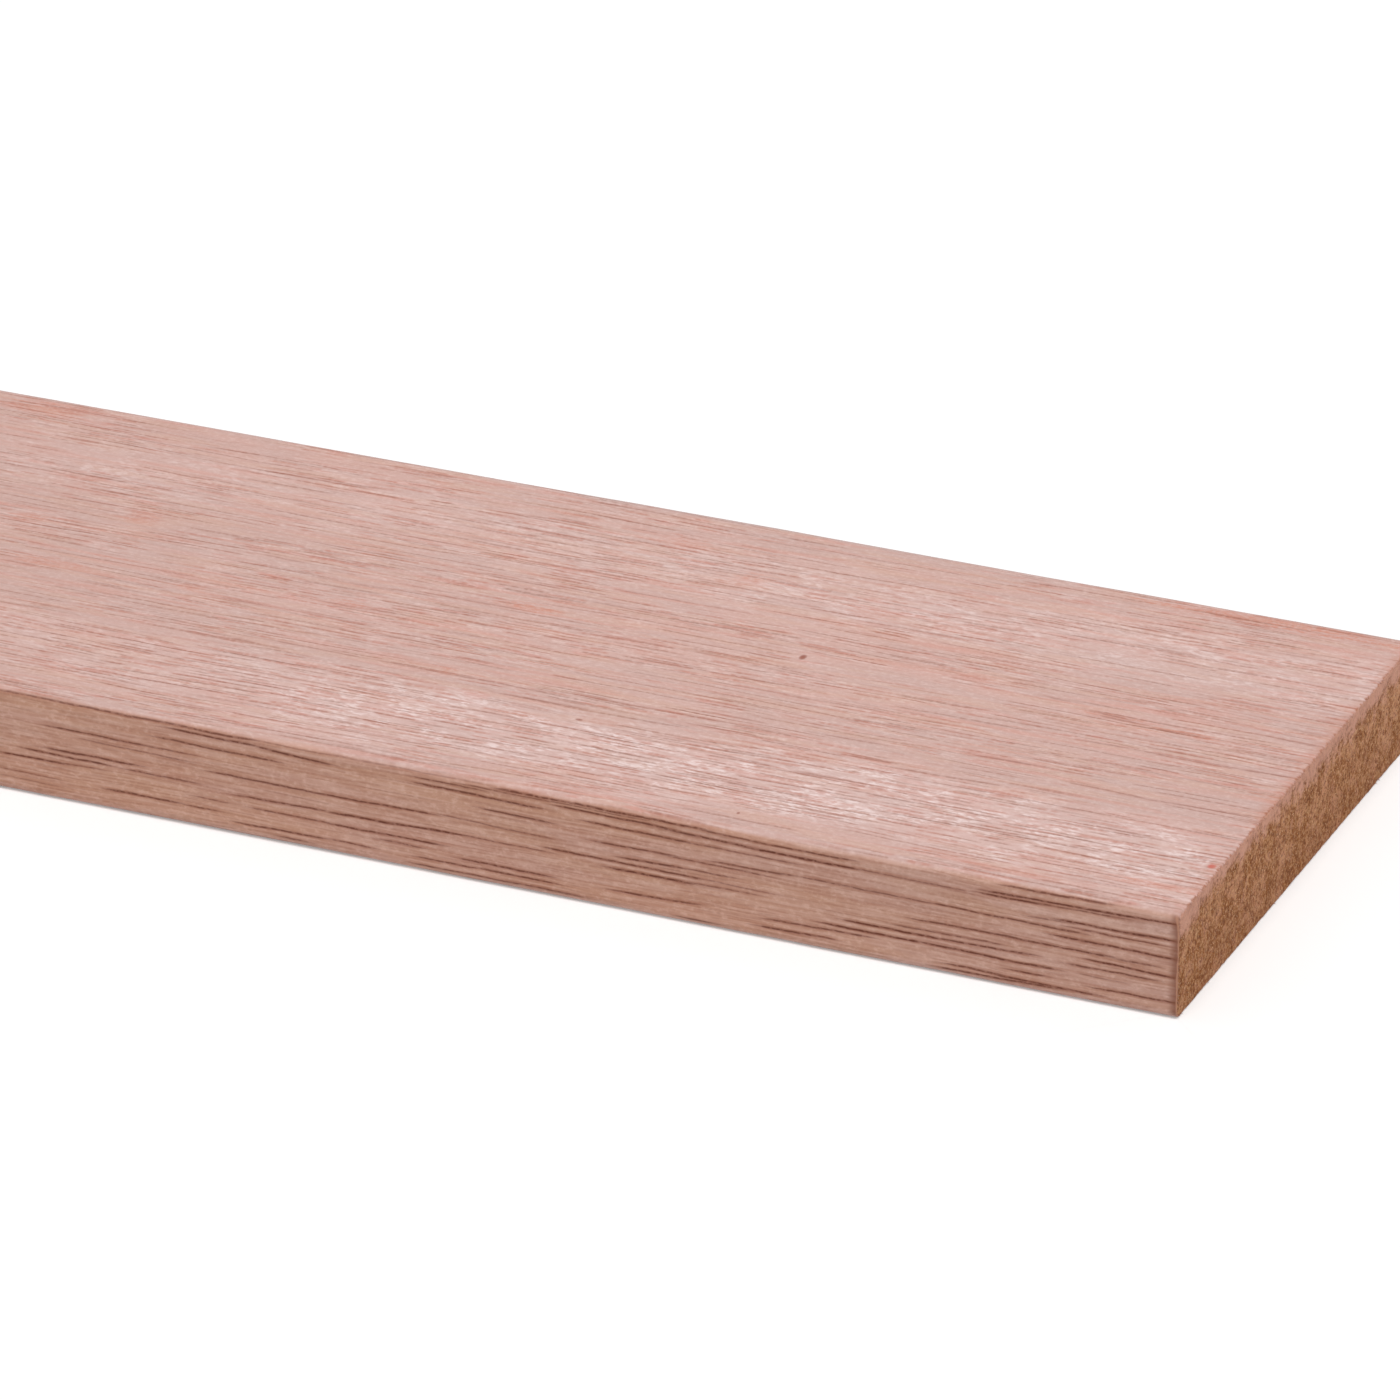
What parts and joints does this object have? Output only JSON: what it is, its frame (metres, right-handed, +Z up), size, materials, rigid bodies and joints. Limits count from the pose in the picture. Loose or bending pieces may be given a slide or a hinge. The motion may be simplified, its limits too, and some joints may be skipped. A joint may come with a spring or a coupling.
{
  "type": "planed batten",
  "caption": "Long flat hardwood batten, planed all round to a rectangular section with rounded arrises and crosscut square at both ends.",
  "frame": {"origin": "middle of the underside, halfway along the length and across the width", "axes": "+X runs along the grain towards the sawn end that the picture shows, +Y across the wide face and away from the narrow edge that the picture shows, +Z up out of the upper wide face"},
  "size_m": [2.4, 0.11, 0.018],
  "materials": {
    "planed_hardwood": "planed, unfinished, matt with a faint silky sheen along the grain; the ends are sawn and rough"
  },
  "bodies": {
    "root": {"batten": "planed_hardwood"}
  },
  "joints": []
}
